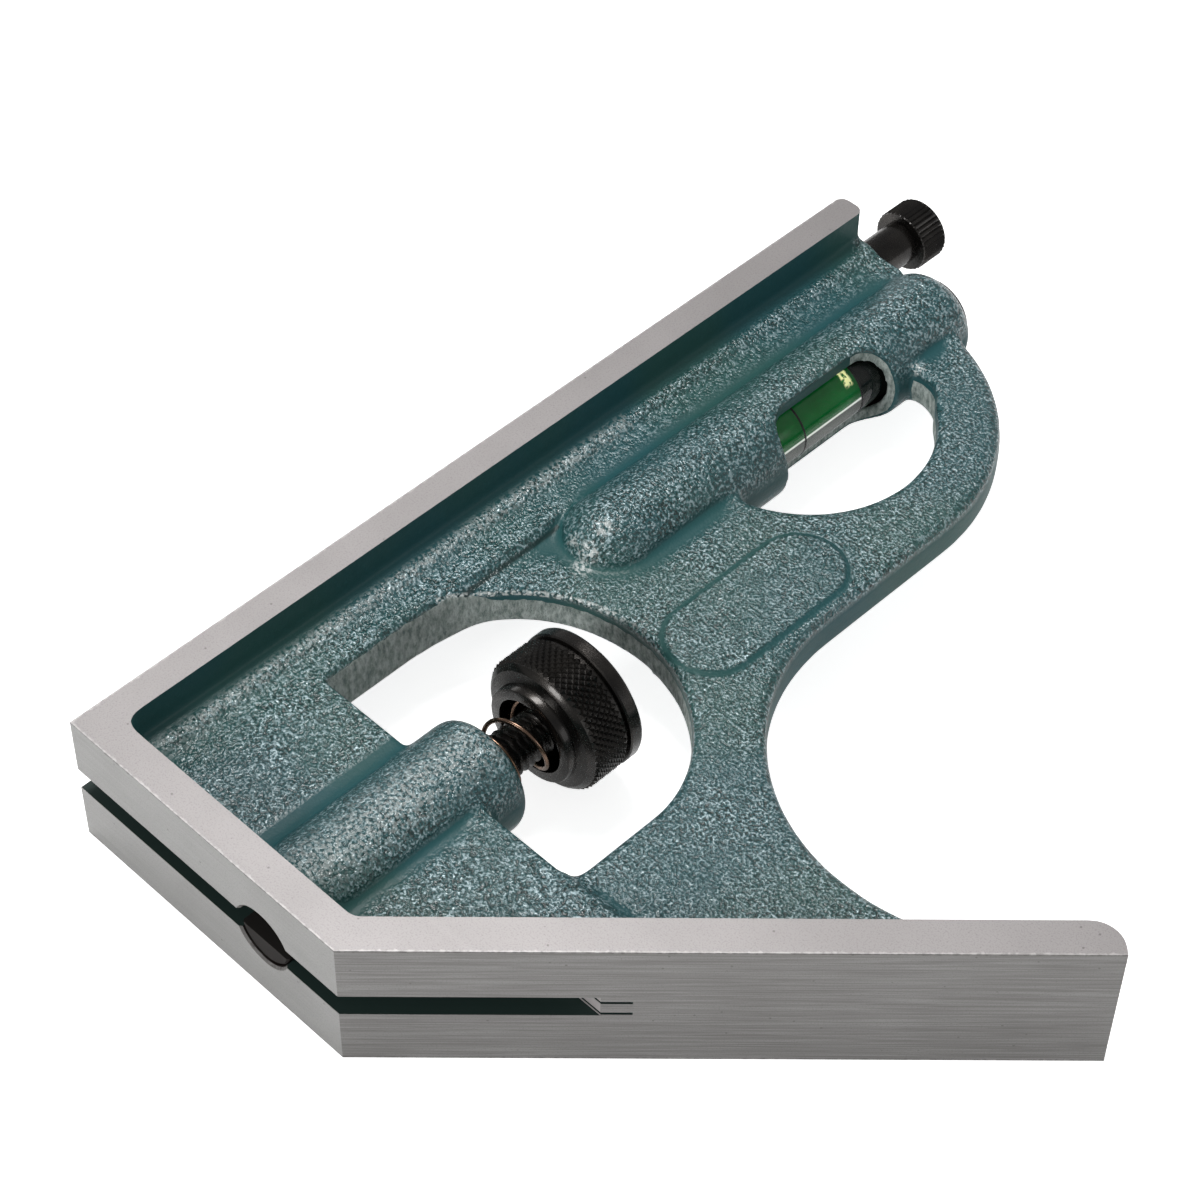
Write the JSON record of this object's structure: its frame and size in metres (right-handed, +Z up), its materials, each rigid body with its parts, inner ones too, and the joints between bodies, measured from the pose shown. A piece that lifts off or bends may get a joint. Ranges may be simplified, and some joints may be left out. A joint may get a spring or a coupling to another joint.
{
  "type": "combination square head",
  "caption": "Cast square head with 90 and 45 degree working faces, a rule slot, a hook clamp with knurled nut, a spirit level and a pull-out scriber.",
  "frame": {"origin": "centre of the whole object's box in plan, on the lower ground side face it lies on", "axes": "+Y along the 90 degree face from the corner towards the scriber's knob, +X along the slotted base face towards the 45 degree face, +Z up, across the head's thickness"},
  "size_m": [0.1044, 0.1434, 0.02],
  "materials": {
    "painted_casting": "teal hammertone enamel on the web and inner walls, ground bare iron on the working faces and edge strips",
    "black_oxide": "black oxide, knurled",
    "spring_wire": "drawn wire with a warm tint",
    "needle_steel": "hardened and ground",
    "bushing_brass": "turned",
    "vial_glass": "clear",
    "vial_spirit": "green spirit",
    "plaster": "set plaster",
    "plug_steel": "turned, painted over"
  },
  "bodies": {
    "head": {"head_casting": "painted_casting", "scriber_bushing": "bushing_brass", "vial_tube": "vial_glass", "vial_liquid": "vial_spirit", "vial_plaster_near": "plaster", "vial_plaster_far": "plaster", "vial_plug": "plug_steel"},
    "spring": {"clamp_spring": "spring_wire"},
    "nut": {"clamp_nut": "black_oxide"},
    "bolt": {"clamp_bolt": "black_oxide"},
    "scriber": {"scriber_knob": "black_oxide", "scriber_needle": "needle_steel"}
  },
  "joints": [
    {"name": "nut_travel", "type": "slide", "parent": "head", "child": "spring", "axis": [0, 1, 0], "range_m": [-0.0064, 0.002], "stiffness_N_per_m": 300, "deforming": ["clamp_spring"]},
    {"name": "nut_turn", "type": "hinge", "parent": "spring", "child": "nut", "pos_m": [-0.02025, -0.0257, 0.01], "axis": [0, -1, 0], "range_deg": [0, 2520.5]},
    {"name": "bolt_draw", "type": "slide", "parent": "spring", "child": "bolt", "axis": [0, 1, 0], "range_m": [0, 0.007]},
    {"name": "scriber_slide", "type": "slide", "parent": "head", "child": "scriber", "axis": [0, 1, 0], "range_m": [-0.0076, 0.072]}
  ],
  "couplings": [
    {"joint": "nut_turn", "follows": "bolt_draw", "rad_per_m": 6283.2}
  ]
}
